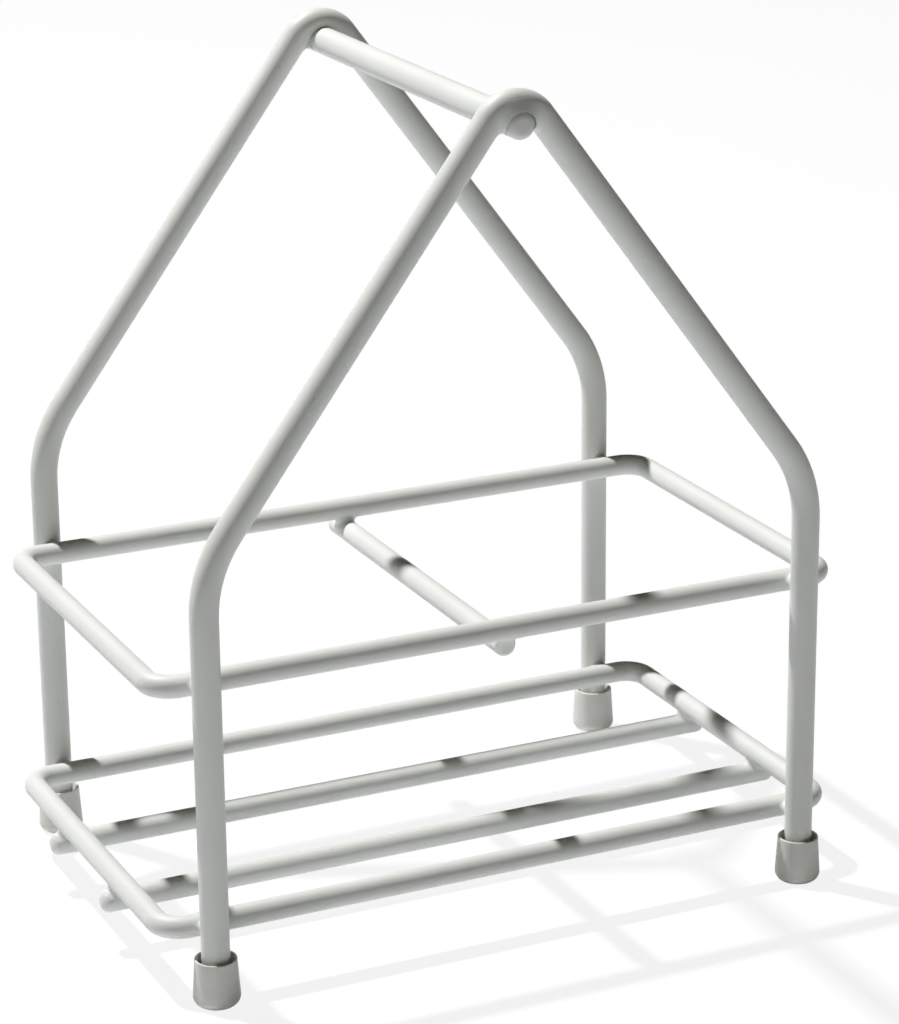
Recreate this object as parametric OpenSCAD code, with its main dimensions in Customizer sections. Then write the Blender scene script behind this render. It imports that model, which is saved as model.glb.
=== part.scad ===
// Carrier for two urine bottles: a free-standing rack of welded, coated round bar on four rubber feet.
// Two house-shaped end frames carry an upper guard ring, a lower ring with two base bars, and the
// carrying handle. X runs along the rings, Y from the front frame to the rear frame, and Z is up.
// The origin is on the floor, midway between the four feet.

/* [Frames] */
// Diameter of the frame bar over its coating
frame_bar_d = 10.4; // [8:0.1:12]
// Distance between the two legs of a frame, centre to centre
leg_spacing = 239; // [190:1:290]
// Distance between the front and rear frames, centre to centre
frame_spacing = 171; // [135:1:210]
// Height of the corner where the lines of a leg and its slope meet
knee_height = 162.4; // [148:0.1:200]
// Height of the corner where the lines of the two slopes meet
peak_height = 322.4; // [265:0.1:390]
// Bend radius of a knee, at the middle of the bar
knee_radius = 49; // [15:1:60]
// Bend radius of the peak, at the middle of the bar
peak_radius = 12; // [12:0.1:16]

/* [Handle] */
// Diameter of the handle bar over its coating
handle_bar_d = 10.4; // [8:0.1:12]
// Depth that the handle bar is let into the underside of each peak
handle_sink = 3.7; // [2:0.1:3.8]
// Length of handle bar standing out past the outer face of each frame
handle_overhang = 1.9; // [0.5:0.1:6]

/* [Rings] */
// Diameter of the ring bar over its coating
ring_bar_d = 8.4; // [6:0.1:10]
// Distance of a ring's short side outward from the legs, centre to centre
ring_reach = 15.2; // [12:0.1:30]
// Bend radius of a ring corner, at the middle of the bar
ring_corner_radius = 9; // [8:0.5:14]
// Height of the middle of the lower ring
lower_ring_height = 27.4; // [27:0.1:45]
// Height of the middle of the upper ring
upper_ring_height = 119.4; // [90:0.1:130]

/* [Cross bars] */
// Diameter of the divider and base bars over their coating
cross_bar_d = 8.4; // [6:0.1:10]
// Distance of the divider bar from the middle of the rack, towards the right
divider_offset = 2.4; // [-15:0.1:15]
// Distance from the middle of the ring's front side outward to the divider's end, negative inward
divider_front_reach = -3.1; // [-3.2:0.1:8]
// Distance from the middle of the ring's rear side outward to the divider's end
divider_rear_reach = 9.3; // [0:0.1:12]
// Distance of the front base bar from the middle of the rack
front_base_offset = 25.9; // [15:0.1:40]
// Distance of the rear base bar from the middle of the rack
rear_base_offset = 30.9; // [15:0.1:40]
// Length of base bar standing out past each short side of the lower ring
base_overhang = 2.5; // [0.5:0.1:6]
// Radius that rounds the cut ends of the handle, divider and base bars
bar_end_radius = 2.8; // [0.3:0.1:2.9]

/* [Feet] */
// Height of a foot
foot_height = 18; // [14:0.5:20]
// Thickness of rubber under the end of a leg
foot_floor = 3; // [2:0.5:5]
// Diameter of a foot where it is widest
foot_base_d = 17.2; // [16:0.1:20]
// Diameter of a foot across its mouth
foot_mouth_d = 15.4; // [14.8:0.1:18]
// Radius that rounds the bottom edge of a foot
foot_edge_radius = 3.5; // [1:0.1:4]
// Thickness of the rubber at the lip of the mouth
foot_lip = 0.9; // [0.6:0.1:1.2]
// Depth of the flare that leads the leg into the mouth
foot_flare_depth = 5; // [2:0.5:8]
// Clearance between a leg and the bore of its foot, all round
foot_clearance = 0.05; // [0:0.05:0.2]

/* [Welds] */
// Gap between two bars where a weld joins them
weld_gap = 0.2; // [0.1:0.05:0.3]
// Diameter of the bead between two crossing bars
weld_d = 6; // [4:0.1:6]
// Thickness of the bead that wraps the handle bar in the peak
handle_weld = 0.9; // [0.5:0.1:1.5]
// Length of the bead that wraps the handle bar, along the bar
handle_weld_length = 8; // [6:0.1:10]

/* [Hidden] */

$fn = 96;

// Sides, as signs along X and Y
LEFT = -1;
RIGHT = 1;
FRONT = -1;
REAR = 1;

coat_colour = [0.88, 0.89, 0.87];
rubber_colour = [0.58, 0.58, 0.55];

// Frame outline: each slope rises at slope_angle from its knee to the peak
leg_x = leg_spacing / 2;
frame_y = frame_spacing / 2;
peak_rise = peak_height - knee_height;
slope_angle = atan(peak_rise / leg_x);
slope_length = sqrt(leg_x * leg_x + peak_rise * peak_rise);
knee_turn = 90 - slope_angle;
knee_tangent = knee_radius * tan(knee_turn / 2);
peak_tangent = peak_radius * tan(slope_angle);
peak_centre_z = peak_height - peak_radius / cos(slope_angle);

// Handle axis, measured down from the middle of the peak bend
handle_z = peak_centre_z + peak_radius - (frame_bar_d + handle_bar_d) / 2 + handle_sink;
handle_length = frame_spacing + frame_bar_d + 2 * handle_overhang;

// Ring sides: the long sides stand inside the legs, with the weld gap between them
ring_side_x = leg_x + ring_reach;
ring_side_y = frame_y - (frame_bar_d + ring_bar_d) / 2 - weld_gap;

// Cross bars hang under the rings, with the weld gap between them
cross_bar_drop = (ring_bar_d + cross_bar_d) / 2 + weld_gap;
divider_z = upper_ring_height - cross_bar_drop;
base_z = lower_ring_height - cross_bar_drop;
divider_front_y = -ring_side_y - divider_front_reach;
divider_rear_y = ring_side_y + divider_rear_reach;
base_length = 2 * (ring_side_x + ring_bar_d / 2 + base_overhang);

// The straights of a frame end this far inside its bends, which are thicker by bend_swell all round
bend_overlap = 0.4;
bend_swell = 0.03;

// A bead reaches this far into each bar before the bars are cut out of it
weld_reach = ring_bar_d / 4;

// The rounded bottom edge of a foot runs this far up into its side wall
foot_edge_overlap = 0.9;

// ---------- bars ----------

// Straight round bar along Z, from the origin up
module bar(diameter, length) {
    cylinder(d = diameter, h = length);
}

// Bent bar in the XY plane: starts at +X of the bend's centre and turns towards +Y
module flat_bend(diameter, radius, turn) {
    rotate_extrude(angle = turn)
        translate([radius, 0])
            circle(d = diameter);
}

// Bent bar in the XZ plane: starts at +X of the bend's centre and turns towards +Z
module upright_bend(diameter, radius, turn) {
    rotate([90, 0, 0]) flat_bend(diameter, radius, turn);
}

// Straight round bar along Z, centred, with both cut ends rounded
module capped_bar(diameter, length) {
    radius = diameter / 2;
    cap_x = radius - bar_end_radius;
    cap_z = length / 2 - bar_end_radius;
    rotate_extrude()
        union() {
            translate([0, -length / 2]) square([cap_x, length]);
            translate([0, -cap_z]) square([radius, 2 * cap_z]);
            for (end = [-1, 1])
                translate([cap_x, end * cap_z])
                    intersection() {
                        circle(r = bar_end_radius);
                        translate([0, -bar_end_radius]) square([bar_end_radius, 2 * bar_end_radius]);
                    }
        }
}

module handle_shape() {
    translate([0, 0, handle_z]) rotate([90, 0, 0]) capped_bar(handle_bar_d, handle_length);
}

module divider_shape() {
    translate([divider_offset, (divider_front_y + divider_rear_y) / 2, divider_z])
        rotate([90, 0, 0])
            capped_bar(cross_bar_d, divider_rear_y - divider_front_y);
}

module base_shape(y) {
    translate([0, y, base_z]) rotate([0, 90, 0]) capped_bar(cross_bar_d, base_length);
}

// ---------- frames ----------

// Leg, knee and slope on the right-hand side of a frame
module frame_half() {
    knee_start = knee_height - knee_tangent;
    slope_straight = slope_length - knee_tangent - peak_tangent;
    translate([leg_x, 0, foot_floor]) bar(frame_bar_d, knee_start - foot_floor + bend_overlap);
    translate([leg_x - knee_radius, 0, knee_start])
        upright_bend(frame_bar_d + 2 * bend_swell, knee_radius, knee_turn);
    translate([leg_x, 0, knee_height])
        rotate([0, -knee_turn, 0])
            translate([0, 0, knee_tangent - bend_overlap])
                bar(frame_bar_d, slope_straight + 2 * bend_overlap);
}

// One bar bent into a house outline, coped under its peak where the handle bar is let in
module frame_shape() {
    difference() {
        union() {
            frame_half();
            mirror([1, 0, 0]) frame_half();
            translate([0, 0, peak_centre_z])
                rotate([0, -knee_turn, 0])
                    upright_bend(frame_bar_d + 2 * bend_swell, peak_radius, 2 * slope_angle);
        }
        translate([0, 0, handle_z])
            rotate([90, 0, 0])
                cylinder(d = handle_bar_d + 2 * weld_gap, h = 2 * frame_bar_d, center = true);
    }
}

module frame(side) {
    color(coat_colour) translate([0, side * frame_y, 0]) frame_shape();
}

// ---------- rings ----------

// Flat closed ring with rounded corners, at height z
module ring(z) {
    straight_x = ring_side_x - ring_corner_radius;
    straight_y = ring_side_y - ring_corner_radius;
    color(coat_colour)
        translate([0, 0, z])
            for (half = [0, 180])
                rotate([0, 0, half]) {
                    translate([-straight_x, ring_side_y, 0])
                        rotate([0, 90, 0])
                            bar(ring_bar_d, 2 * straight_x);
                    translate([ring_side_x, straight_y, 0])
                        rotate([90, 0, 0])
                            bar(ring_bar_d, 2 * straight_y);
                    translate([straight_x, straight_y, 0])
                        flat_bend(ring_bar_d, ring_corner_radius, 90);
                    translate([-straight_x, straight_y, 0])
                        rotate([0, 0, 90])
                            flat_bend(ring_bar_d, ring_corner_radius, 90);
                }
}

// ---------- feet ----------

// Rubber foot: tapered cup with a rounded bottom edge, a rounded lip and a flared mouth
module foot(side_x, side_y) {
    base_r = foot_base_d / 2;
    mouth_r = foot_mouth_d / 2;
    bore_r = frame_bar_d / 2 + foot_clearance;
    lip_z = foot_height - foot_lip / 2;
    color(rubber_colour)
        translate([side_x * leg_x, side_y * frame_y, 0])
            rotate_extrude()
                union() {
                    polygon([
                        [0, 0], [base_r - foot_edge_radius, 0], [base_r, foot_edge_radius],
                        [mouth_r, lip_z], [mouth_r - foot_lip, lip_z],
                        [bore_r, foot_height - foot_flare_depth], [bore_r, foot_floor], [0, foot_floor]
                    ]);
                    translate([base_r - foot_edge_radius, foot_edge_radius])
                        intersection() {
                            circle(r = foot_edge_radius);
                            translate([0, -foot_edge_radius])
                                square([foot_edge_radius, foot_edge_radius + foot_edge_overlap]);
                        }
                    translate([mouth_r - foot_lip / 2, lip_z]) circle(d = foot_lip);
                }
}

// ---------- welds ----------

// Bead between a leg and the long side of a ring at height z
module leg_weld(side_x, side_y, z) {
    contact_y = frame_y - frame_bar_d / 2 - weld_gap / 2;
    color(coat_colour)
        difference() {
            translate([side_x * leg_x, side_y * contact_y, z])
                rotate([90, 0, 0])
                    cylinder(d = weld_d, h = 2 * weld_reach, center = true);
            translate([side_x * leg_x, side_y * frame_y, z - weld_d])
                bar(frame_bar_d, 2 * weld_d);
            translate([side_x * leg_x - weld_d, side_y * ring_side_y, z])
                rotate([0, 90, 0])
                    bar(ring_bar_d, 2 * weld_d);
        }
}

// Bead under one of the ring's sides, where a cross bar is welded to it
module cross_weld(x, y, ring_z, ring_side_turn) {
    contact_z = ring_z - ring_bar_d / 2 - weld_gap / 2;
    color(coat_colour)
        translate([x, y, 0])
            rotate([0, 0, ring_side_turn])
                difference() {
                    translate([0, 0, contact_z]) cylinder(d = weld_d, h = 2 * weld_reach, center = true);
                    translate([-weld_d, 0, ring_z]) rotate([0, 90, 0]) bar(ring_bar_d, 2 * weld_d);
                    translate([0, weld_d, ring_z - cross_bar_drop])
                        rotate([90, 0, 0])
                            bar(cross_bar_d, 2 * weld_d);
                }
}

// Bead under a long side of the upper ring; where the divider stops short of the middle of that
// side, the bead sits midway between the two
module divider_weld(side_y, end_y) {
    contact_z = upper_ring_height - ring_bar_d / 2 - weld_gap / 2;
    bead_y = min(ring_side_y, (ring_side_y + abs(end_y)) / 2);
    color(coat_colour)
        difference() {
            translate([divider_offset, side_y * bead_y, contact_z])
                cylinder(d = weld_d, h = 2 * weld_reach, center = true);
            translate([divider_offset - weld_d, side_y * ring_side_y, upper_ring_height])
                rotate([0, 90, 0])
                    bar(ring_bar_d, 2 * weld_d);
            divider_shape();
        }
}

module base_weld(side_x, y) {
    cross_weld(side_x * ring_side_x, y, lower_ring_height, 90);
}

// Bead that wraps the handle bar inside the cope of a peak
module handle_bead(side_y) {
    color(coat_colour)
        difference() {
            translate([0, side_y * frame_y, handle_z])
                rotate([90, 0, 0])
                    cylinder(d = handle_bar_d + 2 * handle_weld, h = handle_weld_length, center = true);
            translate([0, side_y * frame_y, handle_z])
                rotate([90, 0, 0])
                    cylinder(d = handle_bar_d, h = 2 * frame_bar_d, center = true);
            translate([0, side_y * frame_y, 0]) frame_shape();
        }
}

// ---------- nodes ----------

module front_frame() { frame(FRONT); }
module rear_frame() { frame(REAR); }
module handle_bar() { color(coat_colour) handle_shape(); }
module upper_ring() { ring(upper_ring_height); }
module lower_ring() { ring(lower_ring_height); }
module divider_bar() { color(coat_colour) divider_shape(); }
module front_base_bar() { color(coat_colour) base_shape(-front_base_offset); }
module rear_base_bar() { color(coat_colour) base_shape(rear_base_offset); }

module foot_front_left() { foot(LEFT, FRONT); }
module foot_front_right() { foot(RIGHT, FRONT); }
module foot_rear_left() { foot(LEFT, REAR); }
module foot_rear_right() { foot(RIGHT, REAR); }

module weld_handle_front() { handle_bead(FRONT); }
module weld_handle_rear() { handle_bead(REAR); }
module weld_upper_front_left() { leg_weld(LEFT, FRONT, upper_ring_height); }
module weld_upper_front_right() { leg_weld(RIGHT, FRONT, upper_ring_height); }
module weld_upper_rear_left() { leg_weld(LEFT, REAR, upper_ring_height); }
module weld_upper_rear_right() { leg_weld(RIGHT, REAR, upper_ring_height); }
module weld_lower_front_left() { leg_weld(LEFT, FRONT, lower_ring_height); }
module weld_lower_front_right() { leg_weld(RIGHT, FRONT, lower_ring_height); }
module weld_lower_rear_left() { leg_weld(LEFT, REAR, lower_ring_height); }
module weld_lower_rear_right() { leg_weld(RIGHT, REAR, lower_ring_height); }
module weld_divider_front() { divider_weld(FRONT, divider_front_y); }
module weld_divider_rear() { divider_weld(REAR, divider_rear_y); }
module weld_base_front_left() { base_weld(LEFT, -front_base_offset); }
module weld_base_front_right() { base_weld(RIGHT, -front_base_offset); }
module weld_base_rear_left() { base_weld(LEFT, rear_base_offset); }
module weld_base_rear_right() { base_weld(RIGHT, rear_base_offset); }

front_frame();
rear_frame();
handle_bar();
upper_ring();
lower_ring();
divider_bar();
front_base_bar();
rear_base_bar();
foot_front_left();
foot_front_right();
foot_rear_left();
foot_rear_right();
weld_handle_front();
weld_handle_rear();
weld_upper_front_left();
weld_upper_front_right();
weld_upper_rear_left();
weld_upper_rear_right();
weld_lower_front_left();
weld_lower_front_right();
weld_lower_rear_left();
weld_lower_rear_right();
weld_divider_front();
weld_divider_rear();
weld_base_front_left();
weld_base_front_right();
weld_base_rear_left();
weld_base_rear_right();
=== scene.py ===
# %% [markdown]
# # A carrier for two urine bottles
#
# The real thing is a small rack that a nurse or a carer lifts by its top bar. Two house-shaped
# frames of 10 mm steel bar stand front and rear. Between them hang a guard ring that stops the
# bottles tipping, a lower ring, and two base bars that the bottles stand on. The whole rack is
# welded, then dipped hot into white nylon powder, which melts into a thick soft-edged coat. Four
# grey rubber feet are pushed onto the legs last.
#
# The exact bars come from the CAD model. This script adds what the coat does at each joint, the
# finishes, the studio and the camera.

# %% Load the CAD frame
import math

import bmesh
import bpy
import numpy as np
from mathutils import Matrix, Vector


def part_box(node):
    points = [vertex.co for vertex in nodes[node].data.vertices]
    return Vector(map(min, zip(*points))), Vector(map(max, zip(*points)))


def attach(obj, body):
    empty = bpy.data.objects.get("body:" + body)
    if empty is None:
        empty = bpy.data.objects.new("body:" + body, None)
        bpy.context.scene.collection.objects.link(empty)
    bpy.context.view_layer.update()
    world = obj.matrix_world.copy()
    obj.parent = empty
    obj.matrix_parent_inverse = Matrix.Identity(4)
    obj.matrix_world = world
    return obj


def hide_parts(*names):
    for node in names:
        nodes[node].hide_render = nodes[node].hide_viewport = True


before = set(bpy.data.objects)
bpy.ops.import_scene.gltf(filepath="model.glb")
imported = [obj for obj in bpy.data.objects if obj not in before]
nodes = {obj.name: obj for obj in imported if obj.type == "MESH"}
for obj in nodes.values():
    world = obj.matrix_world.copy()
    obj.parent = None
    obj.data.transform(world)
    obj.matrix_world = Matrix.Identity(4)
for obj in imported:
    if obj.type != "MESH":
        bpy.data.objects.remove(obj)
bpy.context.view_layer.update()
MM = 0.001
print("CAD nodes:", len(nodes))

# %% [markdown]
# ## Where the bars are
#
# Everything below is placed from the boxes of the CAD nodes. A straight bar has its axis in the
# middle of its box. A leg stands in the middle of its foot, and is bent from the same stock as
# the handle. So no size is typed in twice.

# %% Measure the bars
def middle(name):
    """The centre of a CAD node's box, in metres."""
    low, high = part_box(name)
    return (low + high) / 2


def half_height(name):
    """Half of the height of a CAD node's box: the radius, for a bar that lies flat."""
    low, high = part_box(name)
    return (high.z - low.z) / 2


ring_radius = half_height("upper_ring")
cross_radius = half_height("divider_bar")
leg_radius = half_height("handle_bar")
ring_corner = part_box("upper_ring")[1]
ring_side_x = ring_corner.x - ring_radius
ring_side_y = ring_corner.y - ring_radius
for label, radius in (("ring bar", ring_radius), ("cross bar", cross_radius), ("leg", leg_radius)):
    print(f"{label}: {2 * radius / MM:.2f} mm across")
print(f"ring: {2 * ring_side_x / MM:.1f} by {2 * ring_side_y / MM:.1f} mm, centre to centre")

# %% [markdown]
# ## The coated weld between two crossing bars
#
# On the real rack two round bars touch at a point and are fused there by a small weld. The molten
# nylon then creeps into the narrow corner and leaves a smooth hollow collar, a fillet, all the way
# round. A boolean union would give a knife-sharp corner, and a bevel on it would break where the
# corner closes to nothing.
#
# So the collar is drawn directly. Stand at the contact and look out in any direction: one bar's
# surface curves away above, the other's below, and a ball rolled into the gap touches both. The
# ball's inner arc is the fillet there. One turn round the contact gives the whole collar. Both
# edges run on inside the bars, so no seam shows.

# %% Roll a ball into the gap between two bars
def sag(radius, reach):
    """How far a round bar's surface falls away at a sideways distance from its highest line."""
    reach = min(abs(reach), radius * 0.999)
    return radius - math.sqrt(radius * radius - reach * reach)


def rest_on(surface, distance, ball):
    """Height of the centre of a ball that rests on a surface, and how far off the touch is."""
    steps = 24
    best = (-1.0, 0.0)
    for step in range(-steps, steps + 1):
        offset = ball * math.sin(math.pi / 2 * step / steps)
        lift = math.sqrt(max(0.0, ball * ball - offset * offset)) - surface(distance + offset)
        best = max(best, (lift, offset))
    return best


def roll_in(surface_a, surface_b, ball):
    """Distance at which the ball touches both surfaces, with the two touches' offsets.

    Each surface is given by how far it has fallen away from the plane of the contact."""
    near, far = 0.0, 6 * ball
    for _ in range(36):
        distance = (near + far) / 2
        tight = rest_on(surface_a, distance, ball)[0] + rest_on(surface_b, distance, ball)[0] > 0
        near, far = (distance, far) if tight else (near, distance)
    return far, rest_on(surface_a, far, ball), rest_on(surface_b, far, ball)


print("sag 2 mm out on a ring bar:", round(sag(ring_radius, 2 * MM) / MM, 3), "mm")

# %% [markdown]
# A welder's hand isn't perfectly even, so the ball grows and shrinks by a few per cent on its way
# round. Each joint gets its own rhythm from its number, which keeps the result the same each run.

# %% Build one collar
TURN_STEPS = 64
ARC_STEPS = 10
SUNK = 0.35 * MM


def collar(name, point_a, axis_a, radius_a, point_b, axis_b, radius_b, ball, number):
    """A closed ring of coated weld round the contact of two bars that cross at right angles."""
    across = (point_b - point_a).normalized()
    gap = (point_b - point_a).length - radius_a - radius_b
    contact = point_a + across * (radius_a + gap / 2)
    rows = []
    for turn in range(TURN_STEPS):
        angle = 2 * math.pi * turn / TURN_STEPS
        outward = axis_a * math.cos(angle) + axis_b * math.sin(angle)
        uneven = 1 + 0.06 * math.sin(2 * angle + number) + 0.05 * math.sin(3 * angle + 2.3 * number)

        def below(reach, angle=angle):
            return gap / 2 + sag(radius_a, reach * math.sin(angle))

        def above(reach, angle=angle):
            return gap / 2 + sag(radius_b, reach * math.cos(angle))

        size = ball * uneven
        centre, (lift, offset_a), (_, offset_b) = roll_in(below, above, size)
        start = math.atan2(-below(centre + offset_a) - lift, offset_a) % (2 * math.pi)
        end = math.atan2(above(centre + offset_b) - lift, offset_b) % (2 * math.pi)
        row = []
        for step in range(ARC_STEPS + 1):
            swing = start + (end - start) * step / ARC_STEPS
            row.append((centre + size * math.cos(swing), lift + size * math.sin(swing)))
        inner = 0.3 * centre
        reach_b, reach_a = row[-1][0], row[0][0]
        row += [(reach_b - SUNK / 2, above(reach_b) + SUNK), (inner, above(inner) + SUNK),
                (inner, -below(inner) - SUNK), (reach_a - SUNK / 2, -below(reach_a) - SUNK)]
        rows.append([contact + outward * reach + across * rise for reach, rise in row])
    width = len(rows[0])
    faces = []
    for turn in range(TURN_STEPS):
        nxt = (turn + 1) % TURN_STEPS
        for step in range(width):
            other = (step + 1) % width
            faces.append((turn * width + step, turn * width + other,
                          nxt * width + other, nxt * width + step))
    mesh = bpy.data.meshes.new(name)
    mesh.from_pydata([tuple(p) for row in rows for p in row], [], faces)
    mesh.polygons.foreach_set("use_smooth", [True] * len(faces))
    mesh.set_sharp_from_angle(angle=math.radians(40))
    mesh.update()
    piece = bpy.data.objects.new(name, mesh)
    bpy.context.scene.collection.objects.link(piece)
    return piece


def face_outward(piece):
    """Turns all faces to point out of the closed piece."""
    work = bmesh.new()
    work.from_mesh(piece.data)
    bmesh.ops.recalc_face_normals(work, faces=work.faces)
    work.to_mesh(piece.data)
    work.free()


print("one collar has", TURN_STEPS * (ARC_STEPS + 5), "faces")

# %% [markdown]
# ## Every joint of the rack
#
# There are three kinds of crossing: a leg with the long side of a ring, a ring with the divider
# bar hung under it at the rear, and the lower ring's short side with a base bar under it. Each
# collar stands in for the plain round bead that the CAD model has there for its mass and strength.

# %% Place the collars
X, Y, Z = Vector((1, 0, 0)), Vector((0, 1, 0)), Vector((0, 0, 1))
SIDES = {"left": -1, "right": 1}
ENDS = {"front": -1, "rear": 1}
leg_ball = 1.7 * MM
cross_ball = 1.8 * MM
collars = []


def join(node, *bars, ball):
    """Makes the collar for one CAD weld node and puts it in that node's place."""
    piece = collar(node + "_collar", *bars, ball, 1.7 * len(collars) + 0.4)
    face_outward(piece)
    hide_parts(node)
    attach(piece, "root")
    collars.append(piece)


for end, toward_y in ENDS.items():
    for side in SIDES:
        foot = middle(f"foot_{end}_{side}")
        for level in ("upper", "lower"):
            ring_z = middle(level + "_ring").z
            join(f"weld_{level}_{end}_{side}",
                 Vector((foot.x, foot.y, ring_z)), Z, leg_radius,
                 Vector((foot.x, toward_y * ring_side_y, ring_z)), X, ring_radius,
                 ball=leg_ball)
    base = middle(end + "_base_bar")
    for side, toward_x in SIDES.items():
        join(f"weld_base_{end}_{side}",
             Vector((toward_x * ring_side_x, base.y, middle("lower_ring").z)), Y, ring_radius,
             Vector((toward_x * ring_side_x, base.y, base.z)), X, cross_radius,
             ball=cross_ball)
divider = middle("divider_bar")
join("weld_divider_rear",
     Vector((divider.x, ring_side_y, middle("upper_ring").z)), X, ring_radius,
     Vector((divider.x, ring_side_y, divider.z)), Y, cross_radius, ball=cross_ball)
print("collars:", len(collars))

# %% [markdown]
# ## Webs at the three joints that aren't plain crossings
#
# At its front end the divider bar stops under the ring, so there is nothing for a ball to roll
# on past the end. At the two peaks the handle bar is let into a tight bend. For these the web is
# drawn another way. A distance function says how far any point is from a bar. Blending two such
# functions gives a shape that swells where the bars come close, and the web is the part of it
# that lies outside both bars. Its skin is found on a fine grid: each grid cell that the skin runs
# through gets one vertex, at the middle of the places where the skin crosses the cell's edges.

# %% Find the skin of a shape given by a distance function
def skin(name, low, high, cell, field):
    """A closed smooth mesh round the places where the field is negative."""
    ticks = [np.arange(a, b + cell, cell) for a, b in zip(low, high)]
    value = field(*np.meshgrid(*ticks, indexing="ij"))
    inside = value < 0
    cells = [len(t) - 1 for t in ticks]
    total = np.zeros([*cells, 3])
    hits = np.zeros(cells)
    crossings = []
    for axis in range(3):
        first = [slice(None)] * 3
        second = [slice(None)] * 3
        first[axis], second[axis] = slice(None, -1), slice(1, None)
        start, stop = value[tuple(first)], value[tuple(second)]
        crossed = inside[tuple(first)] != inside[tuple(second)]
        share = np.where(crossed, start / np.where(crossed, start - stop, 1.0), 0.0)
        spots = np.stack(np.meshgrid(*[np.arange(n, dtype=float) for n in crossed.shape],
                                     indexing="ij"), axis=-1)
        spots[..., axis] += share
        others = [k for k in range(3) if k != axis]
        for shift_a in (0, 1):
            for shift_b in (0, 1):
                part = [slice(None)] * 3
                for k, shift in zip(others, (shift_a, shift_b)):
                    part[k] = slice(shift, shift + cells[k])
                total += np.where(crossed[tuple(part)][..., None], spots[tuple(part)], 0.0)
                hits += crossed[tuple(part)]
        crossings.append((others, crossed))
    used = hits > 0
    number = np.full(cells, -1)
    number[used] = np.arange(used.sum())
    points = total[used] / hits[used][:, None] * cell + np.array(low)
    faces = []
    for others, crossed in crossings:
        for spot in np.argwhere(crossed):
            corners = []
            for back_a, back_b in ((1, 1), (0, 1), (0, 0), (1, 0)):
                at = spot.copy()
                at[others[0]] -= back_a
                at[others[1]] -= back_b
                corners.append(int(number[tuple(at)]))
            faces.append(corners)
    mesh = bpy.data.meshes.new(name)
    mesh.from_pydata([tuple(float(c) for c in p) for p in points], [], faces)
    mesh.polygons.foreach_set("use_smooth", [True] * len(faces))
    mesh.update()
    piece = bpy.data.objects.new(name, mesh)
    bpy.context.scene.collection.objects.link(piece)
    face_outward(piece)
    piece.data.set_sharp_from_angle(angle=math.radians(50))
    return piece


def blend(near_a, near_b, width):
    """The web between two bars: the blended shape, hollowed a little way inside each bar."""
    apart = np.abs(near_a - near_b)
    swell = np.clip(1 - apart / width, 0, None) ** 2 * width / 4
    joined = np.minimum(near_a, near_b) - swell
    return np.maximum.reduce([joined, -near_a - SUNK, -near_b - SUNK, apart - 0.94 * width])


print("the skin finder is ready")

# %% [markdown]
# The bars are given by their usual distance functions. A cut end is rounded by the coat, and the
# peak of a frame is an arc that runs on into two straight slopes.

# %% Place the webs
END_ROUND = 2.8 * MM
PEAK_BEND = 12.0 * MM
SLOPE = math.radians(53.25)
# The coat leaves a narrow dark groove round the handle's end, down to this far out of the frame
GROOVE_FLOOR = 1.8 * MM
GROOVE_WIDTH = 0.55 * MM


def capped_bar(u, v, along, half_length, radius):
    """Distance to a round bar with rounded ends, from the offsets across and along its axis."""
    side = np.hypot(u, v) - (radius - END_ROUND)
    end = np.abs(along) - (half_length - END_ROUND)
    outside = np.hypot(np.clip(side, 0, None), np.clip(end, 0, None))
    return np.minimum(np.maximum(side, end), 0) + outside - END_ROUND


def half_length(name):
    """Half of the length of a bar that runs from front to rear."""
    low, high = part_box(name)
    return (high.y - low.y) / 2


def divider_web(x, y, z):
    """The web between the front side of the upper ring and the end of the divider bar."""
    ring = np.hypot(y + ring_side_y, z - middle("upper_ring").z) - ring_radius
    bar = capped_bar(x - divider.x, z - divider.z, y - divider.y, half_length("divider_bar"),
                     cross_radius)
    return blend(ring, bar, 7.0 * MM)


handle = middle("handle_bar")
peak_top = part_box("front_frame")[1].z - leg_radius


def peak_web(frame_y):
    """The web between the handle bar and the peak of the frame that stands at frame_y."""
    def field(x, y, z):
        out, rise = np.abs(x), z - (peak_top - PEAK_BEND)
        bent = np.abs(np.hypot(out, rise) - PEAK_BEND)
        straight = np.abs(out * math.sin(SLOPE) + rise * math.cos(SLOPE) - PEAK_BEND)
        line = np.where(np.arctan2(out, rise) < SLOPE, bent, straight)
        peak = np.hypot(line, y - frame_y) - leg_radius
        bar = capped_bar(x, z - handle.z, y - handle.y, half_length("handle_bar"), leg_radius)
        outward = (y - frame_y) * math.copysign(1, frame_y)
        groove = np.where(outward > GROOVE_FLOOR, GROOVE_WIDTH - bar, -1.0)
        inner_side = -outward - 3.4 * MM
        return np.maximum.reduce([blend(peak, bar, 5.0 * MM), inner_side, groove])
    return field


def web(node, centre, reach, cell, field):
    """Makes the web for one CAD weld node and puts it in that node's place."""
    low, high = np.array(centre) - np.array(reach), np.array(centre) + np.array(reach)
    piece = skin(node + "_collar", low, high, cell, field)
    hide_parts(node)
    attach(piece, "root")
    collars.append(piece)
    print(f"{piece.name}: {len(piece.data.vertices)} vertices")


web("weld_divider_front",
    (divider.x, -ring_side_y, divider.z + cross_radius),
    (18 * MM, 11 * MM, 11 * MM), 0.4 * MM, divider_web)
for end in ENDS:
    frame_y = middle(end + "_frame").y
    web(f"weld_handle_{end}", (0, frame_y, handle.z), (12 * MM, 9 * MM, 11 * MM), 0.3 * MM,
        peak_web(frame_y))

# %% [markdown]
# ## Colours and nodes
#
# Colours are written as sRGB hex values, as on a colour chart, and one function turns them into
# the linear numbers that Blender renders with. One more function adds a node, sets its inputs and
# links the rest, so that each material below reads as a short recipe.

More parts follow.
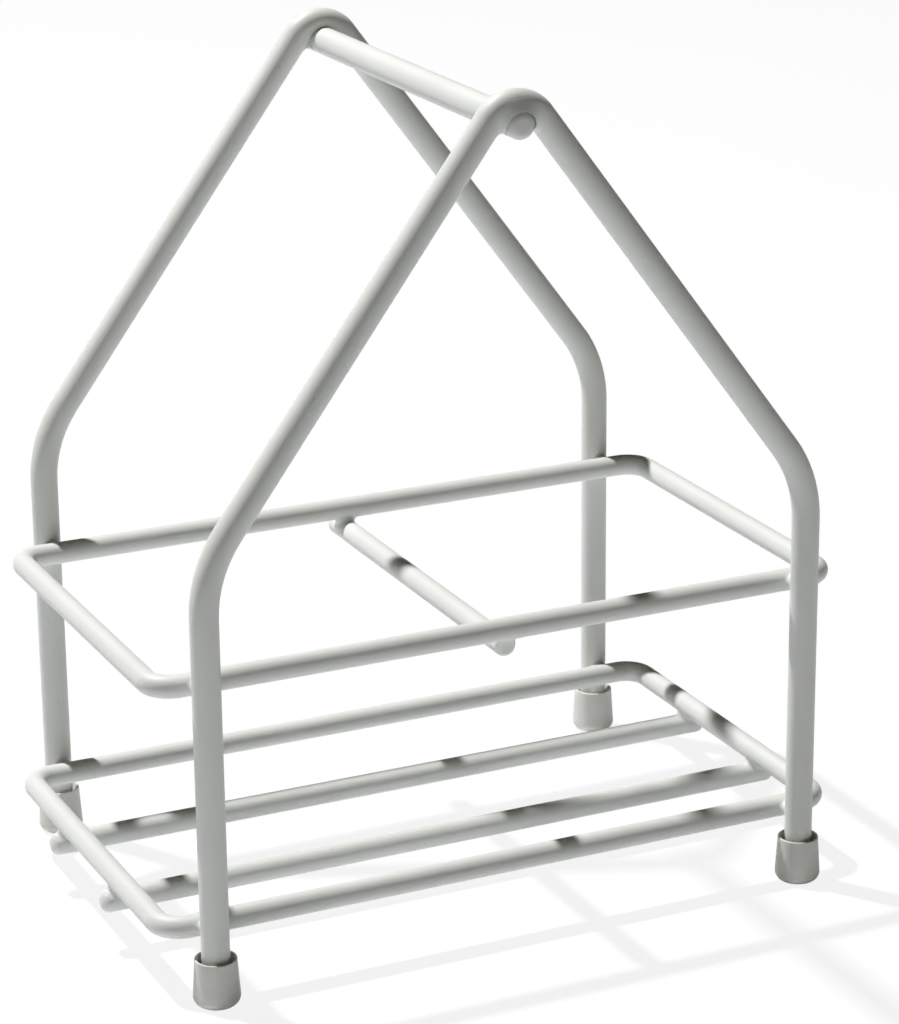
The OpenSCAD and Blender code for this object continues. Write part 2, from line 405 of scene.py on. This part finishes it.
# %% Two helpers for materials
def linear(hex_colour):
    """An sRGB hex colour as the linear RGBA that a shader socket takes."""
    channels = [int(hex_colour[i:i + 2], 16) / 255 for i in (1, 3, 5)]
    return (*[c / 12.92 if c <= 0.04045 else ((c + 0.055) / 1.055) ** 2.4 for c in channels], 1.0)


def add(tree, kind, inputs=None, **settings):
    """Adds a node. inputs maps a socket to a value, or to another node's output to link."""
    node = tree.nodes.new(kind)
    for name, value in settings.items():
        setattr(node, name, value)
    for socket, value in (inputs or {}).items():
        if isinstance(value, bpy.types.NodeSocket):
            tree.links.new(value, node.inputs[socket])
        else:
            node.inputs[socket].default_value = value
    return node


def start_material(name):
    """A new empty node material, its tree, and the object's own coordinates in metres."""
    material = bpy.data.materials.new(name)
    material.use_nodes = True
    tree = material.node_tree
    tree.nodes.clear()
    place = add(tree, "ShaderNodeTexCoord").outputs["Object"]
    return material, tree, place


print("mid grey #808080 is", round(linear("#808080")[0], 3), "in linear light")

# %% [markdown]
# ## Finish: fluid-bed nylon coat on steel
#
# The steel is heated and dipped into a bed of white nylon powder, which melts onto it as a coat
# about 0.2 mm thick. It isn't glossy like paint: it flows just enough to give a soft satin shine
# with a faint orange peel, waves about 3 mm apart and a few hundredths deep. Its white is a little
# uneven, because the coat is thinner over some parts, and here and there a trapped grain leaves a
# tiny dark pinhole. Nylon has an IOR of about 1.53.

# %% Make the coat
COAT_WHITE = "#e3e4e2"
COAT_THIN = "#d9dad6"
PINHOLE = "#8b887c"
PEEL_SIZE = 3.0 * MM
PATCH_SIZE = 40 * MM
PINHOLE_SPACING = 9 * MM
# A real pinhole is about 0.2 mm wide, too fine to show, so these are drawn twice as wide.
PINHOLE_RADIUS = 0.22 * MM

coat, tree, place = start_material("nylon_coated_steel")
patches = add(tree, "ShaderNodeTexNoise", {"Vector": place, "Scale": 1 / PATCH_SIZE, "Detail": 3.0})
shade = add(tree, "ShaderNodeMix", {0: patches.outputs["Fac"], 6: linear(COAT_THIN),
                                    7: linear(COAT_WHITE)}, data_type="RGBA")
grains = add(tree, "ShaderNodeTexVoronoi", {"Vector": place, "Scale": 1 / PINHOLE_SPACING})
hole = add(tree, "ShaderNodeMapRange", {
    "Value": grains.outputs["Distance"],
    "From Min": 0.5 * PINHOLE_RADIUS / PINHOLE_SPACING,
    "From Max": 1.5 * PINHOLE_RADIUS / PINHOLE_SPACING,
    "To Min": 0.7, "To Max": 0.0})
colour = add(tree, "ShaderNodeMix", {0: hole.outputs["Result"], 6: shade.outputs[2],
                                     7: linear(PINHOLE)}, data_type="RGBA")
satin = add(tree, "ShaderNodeMapRange", {"Value": patches.outputs["Fac"], "To Min": 0.46,
                                         "To Max": 0.58})
peel = add(tree, "ShaderNodeTexNoise", {"Vector": place, "Scale": 1 / PEEL_SIZE, "Detail": 2.0})
bump = add(tree, "ShaderNodeBump", {"Height": peel.outputs["Fac"], "Strength": 0.5,
                                    "Distance": 0.06 * MM})
shader = add(tree, "ShaderNodeBsdfPrincipled", {
    "Base Color": colour.outputs[2], "Roughness": satin.outputs["Result"],
    "Normal": bump.outputs["Normal"], "IOR": 1.53, "Metallic": 0.0})
add(tree, "ShaderNodeOutputMaterial", {"Surface": shader.outputs["BSDF"]})
print("made", coat.name)

# %% [markdown]
# ## Finish: moulded grey rubber
#
# The feet are pressed from filled grey rubber in a plain steel mould. The skin copies the mould's
# fine blasted surface, so it is matt with a faint sheen, and a bloom of wax dulls it in patches.
# Dirt settles lower down, where a foot meets the floor. Rubber has an IOR of about 1.52.

# %% Make the rubber
RUBBER_GREY = "#e0e0dc"
RUBBER_DUSTY = "#cdccc4"
GRAIN_SIZE = 0.9 * MM
BLOOM_SIZE = 7 * MM

rubber, tree, place = start_material("moulded_grey_rubber")
bloom = add(tree, "ShaderNodeTexNoise", {"Vector": place, "Scale": 1 / BLOOM_SIZE, "Detail": 4.0})
level = add(tree, "ShaderNodeSeparateXYZ", {"Vector": place})
low_dirt = add(tree, "ShaderNodeMapRange", {"Value": level.outputs["Z"], "From Min": 0.0,
                                            "From Max": 5 * MM, "To Min": 0.5, "To Max": 0.0})
dust = add(tree, "ShaderNodeMath", {0: bloom.outputs["Fac"], 1: low_dirt.outputs["Result"]},
           operation="ADD", use_clamp=True)
tone = add(tree, "ShaderNodeMix", {0: dust.outputs["Value"], 6: linear(RUBBER_GREY),
                                   7: linear(RUBBER_DUSTY)}, data_type="RGBA")
dull = add(tree, "ShaderNodeMapRange", {"Value": bloom.outputs["Fac"], "To Min": 0.45,
                                        "To Max": 0.65})
grain = add(tree, "ShaderNodeTexNoise", {"Vector": place, "Scale": 1 / GRAIN_SIZE, "Detail": 3.0})
bump = add(tree, "ShaderNodeBump", {"Height": grain.outputs["Fac"], "Strength": 0.5,
                                    "Distance": 0.05 * MM})
shader = add(tree, "ShaderNodeBsdfPrincipled", {
    "Base Color": tone.outputs[2], "Roughness": dull.outputs["Result"],
    "Normal": bump.outputs["Normal"], "IOR": 1.52, "Metallic": 0.0})
add(tree, "ShaderNodeOutputMaterial", {"Surface": shader.outputs["BSDF"]})
print("made", rubber.name)

# %% [markdown]
# ## Give every piece its finish
#
# The feet are rubber. All the rest came out of the same nylon bath.

# %% Assign the materials
def wear(piece, material):
    """Puts one material on the whole of a piece."""
    slots = piece.data.materials
    if not len(slots):
        slots.append(material)
    for i in range(len(slots)):
        slots[i] = material


for name, node in nodes.items():
    wear(node, rubber if name.startswith("foot_") else coat)
for piece in collars:
    wear(piece, coat)
print("finished pieces:", len(nodes) + len(collars))

# %% [markdown]
# ## The studio
#
# The rack stands on a plain white floor under one small lamp, high up and behind it on the left,
# which gives crisp rod-on-rod shadows. The only other light is what the floor throws back up, and
# a dim warm room overhead that turns brighter towards the white walls at the horizon. So the tops
# of the bars are white, the flanks turn olive grey, and the undersides lighten again.

# %% Lay the floor
FLOOR_HALF = 12.0
FLOOR_GREY = "#f6f8fc"
mesh = bpy.data.meshes.new("studio_floor")
mesh.from_pydata([(x * FLOOR_HALF, y * FLOOR_HALF, 0) for x, y in ((-1, -1), (1, -1), (1, 1), (-1, 1))],
                 [], [(0, 1, 2, 3)])
floor = bpy.data.objects.new("studio_floor", mesh)
bpy.context.scene.collection.objects.link(floor)

paper, tree, place = start_material("white_paper_sweep")
paths = add(tree, "ShaderNodeLightPath")
seen = add(tree, "ShaderNodeMath", {0: paths.outputs["Is Camera Ray"], 1: paths.outputs["Is Glossy Ray"]},
           operation="ADD")
seen = add(tree, "ShaderNodeMath", {0: seen.outputs["Value"], 1: paths.outputs["Is Transmission Ray"]},
           operation="ADD", use_clamp=True)
share = add(tree, "ShaderNodeMath", {0: seen.outputs["Value"], 1: 0.87}, operation="MULTIPLY")
matt = add(tree, "ShaderNodeBsdfDiffuse", {"Color": linear(FLOOR_GREY)})
glow = add(tree, "ShaderNodeEmission", {"Color": linear("#ffffff"), "Strength": 1.0})
mixed = add(tree, "ShaderNodeMixShader", {0: share.outputs["Value"], 1: matt.outputs["BSDF"],
                                          2: glow.outputs["Emission"]})
add(tree, "ShaderNodeOutputMaterial", {"Surface": mixed.outputs["Shader"]})
floor.data.materials.append(paper)
print("floor:", 2 * FLOOR_HALF, "m square")

# %% Light the room
world = bpy.data.worlds.new("studio_room")
bpy.context.scene.world = world
world.use_nodes = True
tree = world.node_tree
tree.nodes.clear()
direction = add(tree, "ShaderNodeTexCoord").outputs["Generated"]
upward = add(tree, "ShaderNodeSeparateXYZ", {"Vector": direction})
ramp = add(tree, "ShaderNodeValToRGB", {"Fac": upward.outputs["Z"]})
stops = ramp.color_ramp.elements
stops[0].position, stops[0].color = 0.0, (0.50, 0.50, 0.47, 1)
stops[1].position, stops[1].color = 0.45, (0.035, 0.036, 0.020, 1)
stops.new(0.12).color = (0.12, 0.12, 0.08, 1)
room = add(tree, "ShaderNodeBackground", {"Color": ramp.outputs["Color"], "Strength": 1.0})
add(tree, "ShaderNodeOutputWorld", {"Surface": room.outputs["Background"]})
print("room light set")

# %% Hang the lamp
LAMP_PLACE = Vector((-0.777, 1.235, 2.888))
LAMP_WATTS = 121.0
lamp = bpy.data.objects.new("key_lamp", bpy.data.lights.new("key_lamp", "AREA"))
lamp.data.shape = "DISK"
lamp.data.size = 0.11
lamp.data.energy = LAMP_WATTS
lamp.location = LAMP_PLACE
lamp.rotation_mode = "QUATERNION"
lamp.rotation_quaternion = (Vector((0, 0, 0.1)) - LAMP_PLACE).to_track_quat("-Z", "Y")
bpy.context.scene.collection.objects.link(lamp)
print("lamp:", LAMP_WATTS, "W")

# %% [markdown]
# ## The camera
#
# The view is from the front left and a little above, with a fairly long lens, so the verticals
# stay nearly parallel. The camera first looks at a point on the rack's middle line, and then is
# turned by a degree or two to frame it.

# %% Set the camera
CAMERA_PLACE = Vector((-504.35, -1119.16, 556.73)) * MM
CAMERA_AIM = Vector((0, 0, 181.79)) * MM
TURN_SIDE, TILT, ROLL = 0.0094, 0.0302, 0.0138
SENSOR = 36.0
FOCAL_IN_HEIGHTS = 3.3371
camera = bpy.data.objects.new("camera", bpy.data.cameras.new("camera"))
camera.data.sensor_fit = "AUTO"
camera.data.sensor_width = SENSOR
camera.data.lens = FOCAL_IN_HEIGHTS * SENSOR
back = (CAMERA_PLACE - CAMERA_AIM).normalized()
right = Z.cross(back).normalized()
up = back.cross(right)
level_view = Matrix((right, up, back))
framing = (Matrix.Rotation(ROLL, 3, "Z") @ Matrix.Rotation(TURN_SIDE, 3, "Y")
           @ Matrix.Rotation(TILT, 3, "X"))
camera.rotation_mode = "QUATERNION"
camera.rotation_quaternion = (framing @ level_view).transposed().to_quaternion()
camera.location = CAMERA_PLACE
bpy.context.scene.collection.objects.link(camera)
bpy.context.scene.camera = camera
bpy.context.scene.view_settings.view_transform = "Standard"
print("lens:", round(camera.data.lens, 1), "mm")
